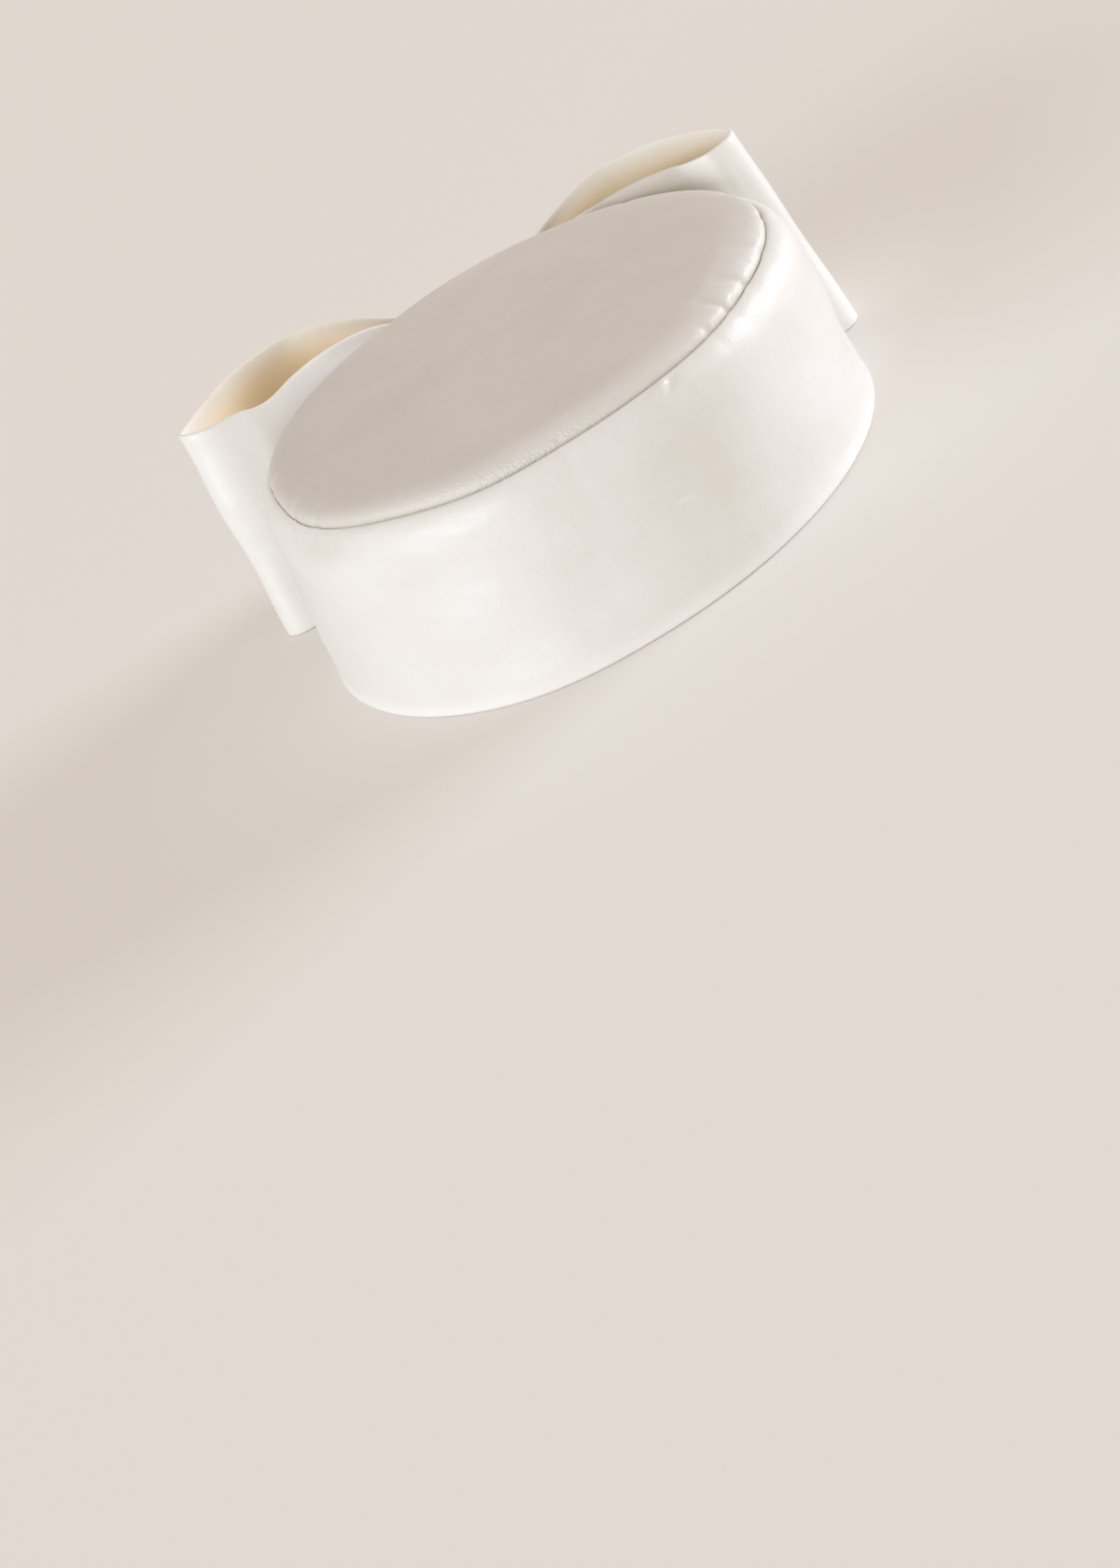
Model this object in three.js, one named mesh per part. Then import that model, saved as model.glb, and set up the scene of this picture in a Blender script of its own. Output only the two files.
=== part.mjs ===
// A satin pillbox hat: a padded round tip sewn to an upright side band, with a flat ribbon bow
// at the centre back. Millimetres, +Z up, the front of the hat towards -Y, resting on its rim.

import * as THREE from "three";
import { ParametricGeometry } from "three/addons/geometries/ParametricGeometry.js";

// Overall sizes of the crown
const baseRadius = 88;
const shoulderInset = 2.7;
const shoulderHeight = 42.6;
const seamInset = 9.3;
const seamHeight = 58.6;
const tipRise = 7.9;

// Cloth and padding
const bandWall = 2.2;
const hemWall = 3.2;
const hemHeight = 11;
const hemStep = 1;
const hemRounding = 0.9;
const tipWall = 3;
const tipSquareness = 4;
const allowanceWall = 1.6;
const allowanceDepth = 7;
const pieceGap = 0.3;
const dentDepth = 1.3;

// The bow
const ribbonWidth = 65.2;
const ribbonWall = 1.8;
const layerGap = 0.6;
const bowLift = 0.8;
const pinchLow = 15.1;
const pinchHigh = 50;
const knotWidth = 22;
const knotWall = 1.6;
const knotPlump = 1.2;
const knotMargin = 1;
const wallClearance = 0.6;

// Each loop's fold: how far it reaches sideways, how far it stands out from the rim's radius, and
// how its low end leans round towards the front and tucks in towards the hat
const leftFold = { reach: 95.8, out: 29.2, leanDegrees: 7.2, tuck: 6 };
const rightFold = { reach: 88.6, out: 16.8, leanDegrees: 8, tuck: 1.6 };

// The share of the way to the fold at which a loop's low edge starts to lean
const leanStart = 0.45;

// The radii that follow from these
const shoulderRadius = baseRadius - shoulderInset;
const seamRadius = baseRadius - seamInset;

// Fineness of the surfaces
const stepsAround = 72;
const hemSteps = 2;
const wallSteps = 4;
const shoulderSteps = 5;
const tipSteps = 9;
const stepsPerRow = 3;
const knotCornerSteps = 4;

// The crown's outline: its radius at the seam and at the rim, as shares of the round one. turn is
// the share of a whole turn from the front, counter-clockwise seen from above, so that a quarter
// is the right side for a viewer who faces the front, and a half is the back.
const OUTLINE = [
  { turn: 0.0, seam: 0.986, rim: 0.978 },
  { turn: 0.04, seam: 0.99, rim: 0.97 },
  { turn: 0.1, seam: 1.012, rim: 0.962 },
  { turn: 0.15, seam: 1.005, rim: 0.96 },
  { turn: 0.2, seam: 1.012, rim: 0.966 },
  { turn: 0.26, seam: 1.02, rim: 0.983 },
  { turn: 0.38, seam: 0.998, rim: 0.998 },
  { turn: 0.5, seam: 0.987, rim: 1.0 },
  { turn: 0.62, seam: 0.99, rim: 1.0 },
  { turn: 0.7, seam: 0.992, rim: 1.003 },
  { turn: 0.77, seam: 0.972, rim: 1.005 },
  { turn: 0.83, seam: 0.995, rim: 1.002 },
  { turn: 0.88, seam: 0.988, rim: 1.006 },
  { turn: 0.92, seam: 0.994, rim: 1.014 },
  { turn: 0.95, seam: 1.009, rim: 1.006 },
];

// Soft hollows in the side band. turn and wide are shares of a whole turn, height and tall of the
// seam's height, and deep of the dents' depth.
const HOLLOWS = [
  { turn: 0.07, wide: 0.07, height: 0.5, tall: 0.38, deep: 1.0 },
  { turn: 0.94, wide: 0.05, height: 0.42, tall: 0.3, deep: 0.45 },
  { turn: 0.8, wide: 0.035, height: 0.3, tall: 0.28, deep: 0.6 },
];

// The ribbon's edge in each loop, from the knot along the front layer to the fold and back along
// the rear layer. turn is a share of the fold's own angle from the back, out a share of the
// fold's stand-off, and top and low are heights as shares of the ribbon's width.
const LEFT_LOOP = [
  { turn: 0.24, out: 0.1, top: 0.81, low: 0.15 },
  { turn: 0.4, out: 0.075, top: 0.9, low: 0.08 },
  { turn: 0.57, out: 0.07, top: 0.945, low: 0.03 },
  { turn: 0.73, out: 0.075, top: 0.965, low: 0.01 },
  { turn: 0.85, out: 0.145, top: 0.955, low: 0.0 },
  { turn: 0.91, out: 0.24, top: 0.965, low: 0.0 },
  { turn: 0.945, out: 0.37, top: 0.985, low: 0.0 },
  { turn: 0.995, out: 0.61, top: 0.99, low: 0.0 },
  { turn: 1.015, out: 0.84, top: 1.0, low: 0.0 },
  { turn: 1.0, out: 1.0, top: 1.0, low: 0.0 },
  { turn: 0.965, out: 1.03, top: 1.0, low: 0.0 },
  { turn: 0.85, out: 1.07, top: 1.0, low: 0.0 },
  { turn: 0.74, out: 1.1, top: 1.0, low: 0.0 },
  { turn: 0.645, out: 1.07, top: 0.995, low: 0.0 },
  { turn: 0.54, out: 0.95, top: 0.985, low: 0.01 },
  { turn: 0.455, out: 0.68, top: 0.965, low: 0.03 },
  { turn: 0.365, out: 0.42, top: 0.92, low: 0.08 },
  { turn: 0.29, out: 0.27, top: 0.855, low: 0.13 },
  { turn: 0.21, out: 0.21, top: 0.8, low: 0.18 },
];
const RIGHT_LOOP = [
  { turn: 0.24, out: 0.14, top: 0.81, low: 0.15 },
  { turn: 0.44, out: 0.11, top: 0.9, low: 0.07 },
  { turn: 0.63, out: 0.11, top: 0.95, low: 0.02 },
  { turn: 0.82, out: 0.115, top: 0.975, low: 0.0 },
  { turn: 0.95, out: 0.12, top: 0.98, low: 0.0 },
  { turn: 1.02, out: 0.24, top: 0.98, low: 0.0 },
  { turn: 1.035, out: 0.5, top: 0.98, low: 0.0 },
  { turn: 1.03, out: 0.8, top: 0.98, low: 0.0 },
  { turn: 1.0, out: 1.0, top: 0.98, low: 0.0 },
  { turn: 0.955, out: 1.08, top: 0.98, low: 0.0 },
  { turn: 0.88, out: 1.14, top: 0.98, low: 0.0 },
  { turn: 0.79, out: 1.18, top: 0.98, low: 0.0 },
  { turn: 0.68, out: 1.13, top: 0.98, low: 0.0 },
  { turn: 0.57, out: 0.95, top: 0.975, low: 0.01 },
  { turn: 0.465, out: 0.68, top: 0.965, low: 0.04 },
  { turn: 0.355, out: 0.45, top: 0.905, low: 0.1 },
  { turn: 0.265, out: 0.35, top: 0.84, low: 0.15 },
  { turn: 0.205, out: 0.3, top: 0.8, low: 0.18 },
];

const satin = (color, roughness) => new THREE.MeshStandardMaterial({ color, roughness, metalness: 0 });
const smooth = (share) => THREE.MathUtils.smoothstep(share, 0, 1);
const radians = THREE.MathUtils.degToRad;

// Reads one column of the outline table at a turn, on a smooth curve through its rows
function outlineShare(turn, column) {
  const count = OUTLINE.length;
  const row = (i) => ({
    turn: OUTLINE[(i + count) % count].turn + Math.floor(i / count),
    share: OUTLINE[(i + count) % count][column],
  });
  const found = OUTLINE.findIndex((entry) => entry.turn > turn);
  const next = found < 0 ? count : found;
  const [before, from, to, after] = [row(next - 2), row(next - 1), row(next), row(next + 1)];
  const span = to.turn - from.turn;
  const along = (turn - from.turn) / span;
  const rise = to.share - from.share;
  const startSlope = ((to.share - before.share) / (to.turn - before.turn)) * span;
  const endSlope = ((after.share - from.share) / (after.turn - from.turn)) * span;
  const second = 3 * rise - 2 * startSlope - endSlope;
  const third = startSlope + endSlope - 2 * rise;
  return from.share + startSlope * along + second * along ** 2 + third * along ** 3;
}

// How deep the hollows are at a place on the band, in millimetres
function hollowDepth(turn, height) {
  let depth = 0;
  for (const hollow of HOLLOWS) {
    const apart = Math.abs(turn - hollow.turn);
    const along = Math.min(apart, 1 - apart) / hollow.wide;
    const up = (height / seamHeight - hollow.height) / hollow.tall;
    depth += dentDepth * hollow.deep * Math.exp(-(along ** 2) - up ** 2);
  }
  return depth;
}

// The round band's outer radius below the shoulder, at a height
function wallRadius(height) {
  return THREE.MathUtils.lerp(baseRadius, shoulderRadius, height / shoulderHeight);
}

// Turns a closed or axis-to-axis profile about Z and gives it the outline and the hollows
function turned(profile) {
  const geometry = new THREE.LatheGeometry(profile, stepsAround);
  geometry.rotateX(Math.PI / 2);
  const place = geometry.attributes.position;
  for (let i = 0; i < place.count; i++) {
    const x = place.getX(i);
    const y = place.getY(i);
    const z = place.getZ(i);
    const radius = Math.hypot(x, y);
    const turn = (Math.atan2(x, -y) / (2 * Math.PI) + 1) % 1;
    const rise = smooth(z / seamHeight);
    const share = THREE.MathUtils.lerp(outlineShare(turn, "rim"), outlineShare(turn, "seam"), rise);
    const inward = (hollowDepth(turn, z) * radius) / baseRadius;
    const scale = radius > 0 ? share - inward / radius : 1;
    place.setXY(i, x * scale, y * scale);
  }
  return geometry;
}

// Points on a quarter of an ellipse, from its side up or down to its top or bottom. A squareness
// of 2 is a plain ellipse, and a larger one is fuller at the corner.
function quarter(middle, height, wide, tall, steps, squareness = 2) {
  const points = [];
  for (let i = 0; i <= steps; i++) {
    const angle = ((i / steps) * Math.PI) / 2;
    const across = i < steps ? Math.cos(angle) ** (2 / squareness) : 0;
    const up = Math.sin(angle) ** (2 / squareness);
    points.push(new THREE.Vector2(middle + wide * across, height + tall * up));
  }
  return points;
}

// Points up the band's wall, as far inside its outer face as the inset says
function wallPoints(inset, low, high) {
  const points = [];
  for (let i = 0; i <= wallSteps; i++) {
    const height = THREE.MathUtils.lerp(low, high, i / wallSteps);
    points.push(new THREE.Vector2(wallRadius(height) - inset, height));
  }
  return points;
}

// The padded tip: a plump dome with a full rounded edge, hollow below, its edge turned down
function crownTip() {
  const edge = seamRadius - pieceGap / 2;
  const inner = edge - allowanceWall;
  const low = seamHeight - allowanceDepth;
  const under = quarter(0, seamHeight, inner, tipRise - tipWall, tipSteps, tipSquareness);
  const over = quarter(0, seamHeight, edge, tipRise, tipSteps, tipSquareness);
  return turned([
    ...under.reverse(),
    new THREE.Vector2(inner, low),
    new THREE.Vector2(edge, low),
    ...over,
  ]);
}

// The side band: hem, flared wall, soft shoulder, and the edge turned down inside the seam
function sideBand() {
  const edge = seamRadius + pieceGap / 2;
  const inner = edge + allowanceWall;
  const low = seamHeight - allowanceDepth;
  const hemInside = baseRadius - hemWall;
  const hemCorner = baseRadius - hemRounding;
  const shoulderRise = seamHeight - shoulderHeight;
  const shoulderInside = shoulderRadius - bandWall;
  const hemTop = wallRadius(hemHeight) - hemWall;
  const corner = quarter(hemCorner, hemRounding, hemRounding, -hemRounding, hemSteps);
  const outerWall = wallPoints(0, hemRounding, shoulderHeight);
  const innerWall = wallPoints(bandWall, hemHeight + hemStep, shoulderHeight);
  const over = quarter(edge, shoulderHeight, shoulderRadius - edge, shoulderRise, shoulderSteps);
  const under = quarter(
    inner,
    shoulderHeight,
    shoulderInside - inner,
    shoulderRise - bandWall,
    shoulderSteps,
  );
  return turned([
    new THREE.Vector2(hemInside + hemRounding, 0),
    ...corner.reverse(),
    ...outerWall.slice(1, -1),
    ...over,
    new THREE.Vector2(edge, low),
    new THREE.Vector2(inner, low),
    ...under.reverse(),
    ...innerWall.slice(0, -1).reverse(),
    new THREE.Vector2(hemTop, hemHeight),
    new THREE.Vector2(hemInside, hemRounding),
    new THREE.Vector2(hemInside + hemRounding, 0),
  ]);
}

// Where the bow's pieces lie behind the band at the centre back, from the band outwards
const knotFront = wallRadius(pinchLow) + pieceGap;
const frontLayer = knotFront + knotWall + pieceGap + ribbonWall / 2;
const rearLayer = frontLayer + ribbonWall + layerGap;

// The two edges of the ribbon at one row of a loop
function loopRow(row, fold, side) {
  const foldAngle = Math.asin(fold.reach / (baseRadius + fold.out));
  const bend = THREE.MathUtils.smoothstep(row.turn, leanStart, 1);
  const place = (angle, radius, height) => {
    const z = bowLift + ribbonWidth * height;
    return new THREE.Vector3(side * radius * Math.sin(angle), radius * Math.cos(angle), z);
  };
  const lowOut = row.out * (fold.out - fold.tuck * bend);
  const nearest = wallClearance + ribbonWall / 2;
  return {
    top: place(row.turn * foldAngle, baseRadius + Math.max(row.out * fold.out, nearest), row.top),
    low: place(
      row.turn * foldAngle + radians(fold.leanDegrees) * bend,
      baseRadius + Math.max(lowOut, nearest),
      row.low,
    ),
  };
}

// The pinched rows that pass through the knot, on one layer, from one side to the other
function pinchRows(layer, side) {
  const half = knotWidth / 2 + knotMargin;
  return [-half, 0, half].map((x) => ({
    top: new THREE.Vector3(-side * x, layer, pinchHigh),
    low: new THREE.Vector3(-side * x, layer, pinchLow),
  }));
}

// The ribbon: one closed ring, flat in section, through both loops and twice through the knot
function bowRibbon() {
  const left = LEFT_LOOP.map((row) => loopRow(row, leftFold, -1));
  const right = RIGHT_LOOP.map((row) => loopRow(row, rightFold, 1)).reverse();
  const rows = [...pinchRows(frontLayer, 1), ...left, ...pinchRows(rearLayer, -1), ...right];
  const topEdge = new THREE.CatmullRomCurve3(rows.map((row) => row.top), true, "centripetal");
  const lowEdge = new THREE.CatmullRomCurve3(rows.map((row) => row.low), true, "centripetal");
  const corners = [
    { across: 0, side: -0.5 },
    { across: 0.33, side: -0.5 },
    { across: 0.67, side: -0.5 },
    { across: 1, side: -0.5 },
    { across: 1, side: 0.5 },
    { across: 0.67, side: 0.5 },
    { across: 0.33, side: 0.5 },
    { across: 0, side: 0.5 },
  ];
  const steps = rows.length * stepsPerRow;
  const surface = (along, around, target) => {
    const share = along % 1;
    const corner = corners[Math.round(around * corners.length) % corners.length];
    const low = lowEdge.getPoint(share);
    const top = topEdge.getPoint(share);
    const run = lowEdge.getTangent(share).add(topEdge.getTangent(share));
    const face = new THREE.Vector3().crossVectors(top.clone().sub(low), run);
    face.z = 0;
    face.normalize();
    target.copy(low).lerp(top, corner.across).addScaledVector(face, corner.side * ribbonWall);
  };
  return new ParametricGeometry(surface, steps, corners.length);
}

// The knot: a strap round both pinched layers, its rear side plump and its corners rounded
function bowKnot() {
  const middleY = (frontLayer + rearLayer) / 2;
  const middleZ = (pinchLow + pinchHigh) / 2;
  const holeRounding = pieceGap;
  const cornerY = (rearLayer - frontLayer) / 2 + ribbonWall / 2 + pieceGap - holeRounding;
  const cornerZ = (pinchHigh - pinchLow) / 2 + pieceGap - holeRounding;
  const section = [
    { across: -0.5, wall: 0, plump: 0 },
    { across: -0.5, wall: 1, plump: 0 },
    { across: -0.25, wall: 1, plump: 0.8 },
    { across: 0, wall: 1, plump: 1 },
    { across: 0.25, wall: 1, plump: 0.8 },
    { across: 0.5, wall: 1, plump: 0 },
    { across: 0.5, wall: 0, plump: 0 },
  ];
  const stepsPerCorner = knotCornerSteps + 1;
  const steps = 4 * stepsPerCorner;
  const surface = (along, around, target) => {
    const step = Math.round(along * steps) % steps;
    const corner = Math.floor(step / stepsPerCorner);
    const angle = (corner + (step % stepsPerCorner) / knotCornerSteps) * (Math.PI / 2);
    const sideY = corner === 0 || corner === 3 ? 1 : -1;
    const sideZ = corner < 2 ? 1 : -1;
    const row = section[Math.round(around * section.length) % section.length];
    const plump = knotPlump * row.plump * Math.max(Math.cos(angle), 0);
    const radius = holeRounding + knotWall * row.wall + plump;
    target.set(
      knotWidth * row.across,
      middleY + sideY * cornerY + radius * Math.cos(angle),
      middleZ + sideZ * cornerZ + radius * Math.sin(angle),
    );
  };
  return new ParametricGeometry(surface, steps, section.length);
}

function piece(name, geometry, material) {
  const mesh = new THREE.Mesh(geometry, material);
  mesh.name = name;
  return mesh;
}

// The hat stands with the middle of its footprint at the origin
const hat = new THREE.Group();
hat.add(piece("crown_tip", crownTip(), satin(0xe6dfd4, 0.45)));
hat.add(piece("side_band", sideBand(), satin(0xf3efe8, 0.42)));
hat.add(piece("bow_ribbon", bowRibbon(), satin(0xf4f0e9, 0.4)));
hat.add(piece("bow_knot", bowKnot(), satin(0xf1ece4, 0.42)));
const footprint = new THREE.Box3().setFromObject(hat, true);
hat.position.set(-(footprint.min.x + footprint.max.x) / 2, -(footprint.min.y + footprint.max.y) / 2, 0);

const model = new THREE.Group();
model.add(hat);
export default model;
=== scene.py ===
import math

import bmesh
import bpy
import numpy as np
from bpy.props import FloatProperty, FloatVectorProperty, IntProperty, PointerProperty
from mathutils import Matrix, Vector


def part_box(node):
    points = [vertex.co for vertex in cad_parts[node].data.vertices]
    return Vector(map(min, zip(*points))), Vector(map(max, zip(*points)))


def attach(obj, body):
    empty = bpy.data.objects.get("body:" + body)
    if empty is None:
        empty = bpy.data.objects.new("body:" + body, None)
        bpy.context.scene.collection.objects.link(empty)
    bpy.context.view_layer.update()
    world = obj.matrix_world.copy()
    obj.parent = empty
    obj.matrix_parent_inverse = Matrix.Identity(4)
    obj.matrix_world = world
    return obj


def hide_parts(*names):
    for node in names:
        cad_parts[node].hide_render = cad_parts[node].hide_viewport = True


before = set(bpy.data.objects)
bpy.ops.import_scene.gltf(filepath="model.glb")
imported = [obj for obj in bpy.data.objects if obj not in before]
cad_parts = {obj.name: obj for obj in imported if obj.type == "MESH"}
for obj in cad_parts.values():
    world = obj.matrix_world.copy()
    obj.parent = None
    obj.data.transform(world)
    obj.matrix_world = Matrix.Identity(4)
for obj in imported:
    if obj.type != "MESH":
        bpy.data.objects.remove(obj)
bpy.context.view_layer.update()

bl_info = {
    "name": "Satin Pillbox Hat",
    "version": (1, 0, 0),
    "blender": (4, 5, 0),
    "location": "3D View > Sidebar > Pillbox Hat",
    "description": "Finishes the solids of a satin pillbox hat with a ribbon bow and lights them",
    "category": "Object",
}

MM = 0.001
FULL_TURN = 2 * math.pi

# The solids' own boxes, which the cloth is cut to
BAND_LOW, BAND_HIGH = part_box("side_band")
TIP_LOW, TIP_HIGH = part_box("crown_tip")
RIBBON_LOW, RIBBON_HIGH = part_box("bow_ribbon")
KNOT_LOW, KNOT_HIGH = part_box("bow_knot")
RIBBON_WIDTH = RIBBON_HIGH.z - RIBBON_LOW.z
HALF_KNOT = (KNOT_HIGH.x - KNOT_LOW.x) / 2
SOLID_STEPS_AROUND = 72


def table(columns, *rows):
    """Rows of values with a name for each column"""
    return [dict(zip(columns.split(), row)) for row in rows]


# How squarely the padded tip turns down at its edge, where 2 is round
TIP_SQUARENESS = 3.3

# Where the small tuck under the seam starts, as a share of a whole turn from the front
TUCK_TURN = 0.0665

# Soft hollows in the side band. turn and wide are shares of a whole turn from the front, height
# and tall of the seam's height, and deep of the hollows' depth.
HOLLOWS = table(
    "turn wide height tall deep",
    (0.07, 0.07, 0.5, 0.38, 1.0),
    (0.94, 0.05, 0.42, 0.3, 0.45),
    (0.8, 0.035, 0.3, 0.28, 0.6),
    (0.82, 0.05, 0.93, 0.08, 0.4),
)

# Where the stitches draw up the tip's edge. turn is a share of a whole turn from the front, wide
# and reach are in millimetres along and across the seam, and deep is a share of the puckers' depth.
PUCKERS = table(
    "turn wide reach deep",
    (0.0, 2.2, 5, 0.15),
    (0.105, 2.0, 5, 0.45),
    (0.126, 2.6, 10, 0.9),
    (0.152, 3.2, 11, 0.95),
    (0.189, 4.0, 11, 0.8),
    (0.237, 4.0, 9, 0.55),
    (0.29, 2.6, 7, 0.35),
    (0.38, 3.0, 8, 0.4),
    (0.47, 2.4, 6, 0.3),
    (0.56, 3.0, 7, 0.45),
    (0.66, 2.6, 8, 0.3),
    (0.745, 2.4, 6, 0.4),
    (0.8, 2.2, 6, 0.35),
    (0.829, 1.8, 5, 0.6),
)

# The ribbon's edge in each loop, from the knot along the front layer to the fold and back along
# the rear layer. turn is a share of the fold's own angle from the back, out a share of the
# fold's stand-off, and top and low are heights as shares of the ribbon's width.
LEFT_LOOP = table(
    "turn out top low",
    (0.24, 0.1, 0.81, 0.15),
    (0.4, 0.075, 0.9, 0.08),
    (0.57, 0.07, 0.945, 0.03),
    (0.73, 0.075, 0.965, 0.01),
    (0.85, 0.145, 0.955, 0.0),
    (0.91, 0.24, 0.965, 0.0),
    (0.945, 0.37, 0.985, 0.0),
    (0.995, 0.61, 0.99, 0.0),
    (1.015, 0.84, 1.0, 0.0),
    (1.0, 1.0, 1.0, 0.0),
    (0.965, 1.03, 1.0, 0.0),
    (0.85, 1.07, 1.0, 0.0),
    (0.74, 1.1, 1.0, 0.0),
    (0.645, 1.07, 0.995, 0.0),
    (0.54, 0.95, 0.985, 0.01),
    (0.455, 0.68, 0.965, 0.03),
    (0.365, 0.42, 0.92, 0.08),
    (0.29, 0.27, 0.855, 0.13),
    (0.21, 0.21, 0.8, 0.18),
)
RIGHT_LOOP = table(
    "turn out top low",
    (0.24, 0.14, 0.81, 0.15),
    (0.44, 0.11, 0.865, 0.07),
    (0.63, 0.11, 0.905, 0.02),
    (0.82, 0.115, 0.935, 0.0),
    (0.95, 0.12, 0.965, 0.0),
    (1.02, 0.24, 0.98, 0.0),
    (1.035, 0.5, 0.98, 0.0),
    (1.03, 0.8, 0.98, 0.0),
    (1.0, 1.0, 0.98, 0.0),
    (0.955, 1.08, 0.98, 0.0),
    (0.88, 1.14, 0.98, 0.0),
    (0.79, 1.18, 0.98, 0.0),
    (0.68, 1.13, 0.98, 0.0),
    (0.57, 0.95, 0.975, 0.01),
    (0.465, 0.68, 0.965, 0.04),
    (0.355, 0.45, 0.905, 0.1),
    (0.265, 0.35, 0.84, 0.15),
    (0.205, 0.3, 0.8, 0.18),
)

# Soft studio lights round the hat. azimuth is counted from the front towards the right side and
# both angles are in degrees; distance, wide and tall are in metres.
LIGHTS = table(
    "name azimuth elevation distance wide tall power colour",
    ("front_left_softbox", -54, 15, 11.0, 8.8, 4.8, 632, (0.88, 0.97, 1.09)),
    ("right_window", 102, 11, 11.0, 6.0, 3.6, 832, (0.93, 1.0, 1.13)),
)

# Places round the crown where its satin takes painted highlight or painted shade, or lies calmer
# or more crinkled, each with its middle and its half width as shares of a whole turn from the
# front
PATCHES = {
    "lit seam": (0.79, 0.06),
    "shaded shoulder": (0.835, 0.035),
    "between the lights": (0.058, 0.034),
    "calm right side": (0.16, 0.07),
    "front edge": (0.985, 0.075),
    "right edge": (0.17, 0.07),
}


def number(name, description, value):
    return FloatProperty(name=name, description=description, default=value, min=0, precision=3)


def length(name, description, millimetres):
    size = millimetres * MM
    return FloatProperty(name=name, description=description, default=size, unit="LENGTH", precision=5)


def colour(name, description, red, green, blue):
    return FloatVectorProperty(
        name=name,
        description=description,
        default=(red, green, blue),
        subtype="COLOR",
        size=3,
        min=0,
        max=1,
    )


class HatSizes(bpy.types.PropertyGroup):
    """The sizes that the cloth is shaped by, beside those that the solids' boxes give"""

    rim_radius: length("Rim radius", "Outside of the band at its lower edge", 88.0)
    shoulder_inset: length("Shoulder inset", "How far the shoulder lies inside the rim", 2.7)
    shoulder_height: length("Shoulder height", "Where the shoulder starts to turn in", 42.6)
    seam_inset: length("Seam inset", "How far the seam lies inside the rim", 9.3)
    hem_wall: length("Hem thickness", "Thickness of the turned hem", 3.2)
    hem_height: length("Hem height", "How far up the hem is turned in", 11.0)
    band_wall: length("Band thickness", "Thickness of the side band", 2.2)
    tip_wall: length("Tip thickness", "Thickness of the padded tip", 3.0)
    allowance_wall: length("Allowance thickness", "Thickness of the cloth turned in at the seam", 1.6)
    allowance_depth: length("Allowance depth", "How far the cloth is turned in at the seam", 7.0)
    seam_gap: length("Seam gap", "Width of the crease between tip and band", 0.14)
    seam_kink: length("Seam kink", "How far the seam is drawn in at a tight pucker", 0.5)
    hollow_depth: length("Hollow depth", "Depth of the deepest hollow in the band", 1.3)
    pucker_depth: length("Pucker depth", "Depth of the puckers along the seam", 0.5)
    ribbon_wall: length("Ribbon thickness", "Thickness of the two layers of satin", 1.3)
    knot_wall: length("Knot thickness", "Thickness of the strap of the knot", 1.6)
    gather_depth: length("Gather depth", "Depth of the pleats beside the knot", 1.7)
    edge_lean: length("Edge lean", "How far the right loop's edge leans towards the crown", 2.4)


class HatPadding(bpy.types.PropertyGroup):
    """How the tip's satin settles over its padding"""

    slack: number("Slack", "How much larger the satin is cut than its form where it puckers", 0.01)
    pressure: number("Pressure", "How firmly the padding pushes", 8)
    bending: number("Bending", "How stiffly the satin bends", 10)
    stretch: number("Stretch", "How stiffly the satin stretches", 40)
    hold: number("Hold", "How firmly the stiff form holds the middle", 0.9)
    inner: number("Inner", "Where the satin is held, as a share of the radius", 0.8)
    free: number("Free", "Where it is free, as a share of the radius", 0.93)
    frames: IntProperty(name="Frames", description="Steps that the satin settles for", default=30, min=2)
    pull: length("Stitch pull", "How far tight stitches draw in the tip's edge", 1.0)
    limit: length("Limit", "Farthest that a pucker may move the satin", 1.1)


class HatColours(bpy.types.PropertyGroup):
    """The colours of the satin and the floor, with the satin's painted shade and painted warm bounce"""

    # Painted shade: the tip is the band's satin, made darker for the weaker light on its top
    tip: colour("Tip", "Satin of the padded tip", 0.69, 0.645, 0.60)
    band: colour("Band", "Satin of the side band", 0.88, 0.868, 0.85)
    ribbon: colour("Ribbon", "Face of the bow's satin", 0.88, 0.865, 0.84)
    ribbon_back: colour("Ribbon back", "Back of the bow's satin near its edges", 0.92, 0.87, 0.79)
    # Painted warm bounce: light thrown between a loop's layers, painted on the back of its satin
    ribbon_painted_bounce: colour("Ribbon glow", "Back of the bow's satin deep in the loops", 1.0, 0.85, 0.60)
    # Painted shade in the seam, on the left shoulder, between the lights and in the bow's folds
    crease: colour("Crease", "Shaded cloth in the seam", 0.58, 0.51, 0.43)
    floor: colour("Floor", "Pale matt floor", 0.915, 0.885, 0.855)
    room: colour("Room", "Warm light of the pale room", 1.0, 0.90, 0.785)


class HatFineness(bpy.types.PropertyGroup):
    """How finely the cloth is divided"""

    around: IntProperty(name="Around", description="Steps round the crown", default=576, min=72)
    along: IntProperty(name="Along", description="Steps along the ribbon", default=760, min=76)
    across: IntProperty(name="Across", description="Steps across the ribbon", default=34, min=4)


def sizes():
    return bpy.context.scene.hat_sizes


def colours():
    return bpy.context.scene.hat_colours


def fineness():
    return bpy.context.scene.hat_fineness


# The crown's axis and its outline


def axis_point(height=0.0):
    """The point of the crown's axis at a height"""
    middle = (KNOT_LOW.x + KNOT_HIGH.x) / 2
    return Vector((middle, BAND_HIGH.y - sizes().rim_radius, height))


def round_points(radius, angle, height):
    """Points round an upright axis, by their angle from the front towards the right"""
    across, forwards = radius * np.sin(angle), -radius * np.cos(angle)
    return np.stack(np.broadcast_arrays(across, forwards, height), -1)


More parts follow.
